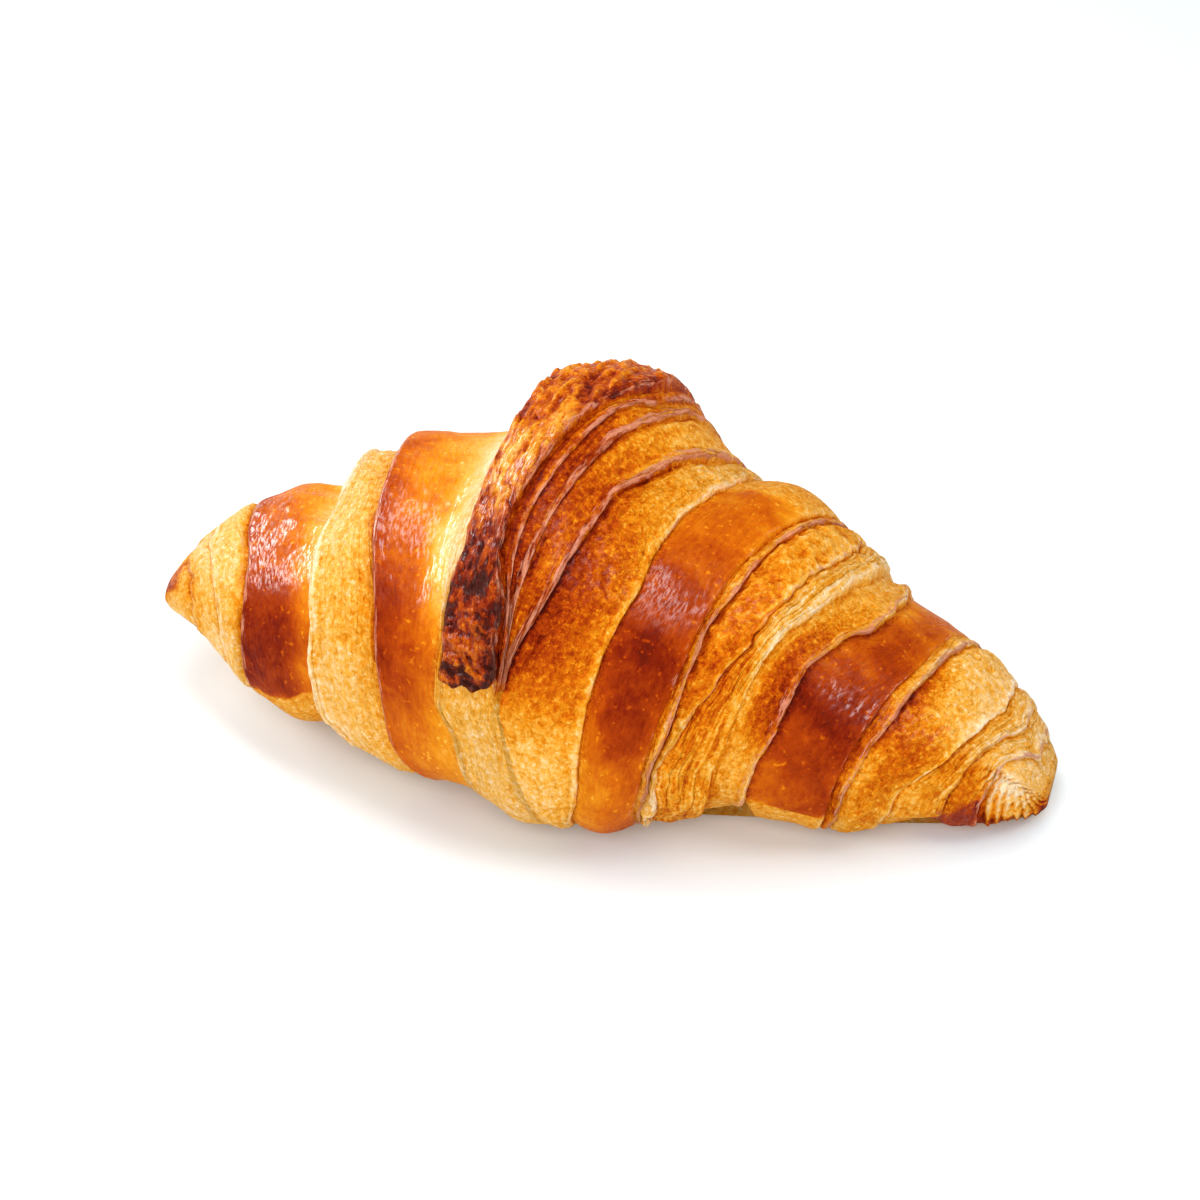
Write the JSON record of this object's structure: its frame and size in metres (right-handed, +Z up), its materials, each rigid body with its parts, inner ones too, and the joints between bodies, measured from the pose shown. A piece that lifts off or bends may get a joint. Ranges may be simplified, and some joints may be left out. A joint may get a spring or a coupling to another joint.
{
  "type": "croissant",
  "caption": "Straight butter croissant lying on its flat underside: a spiral roll with glossy crust bands, open layers between them and a tail folded over a tall middle.",
  "frame": {"origin": "on the table, under the middle of the bounding box", "axes": "+Z up, +X along the roll, the tail of the roll hangs down the -Y side"},
  "size_m": [0.1588, 0.0818, 0.0648],
  "materials": {
    "crust": "glossy"
  },
  "bodies": {
    "root": {"croissant": "crust"}
  },
  "joints": []
}
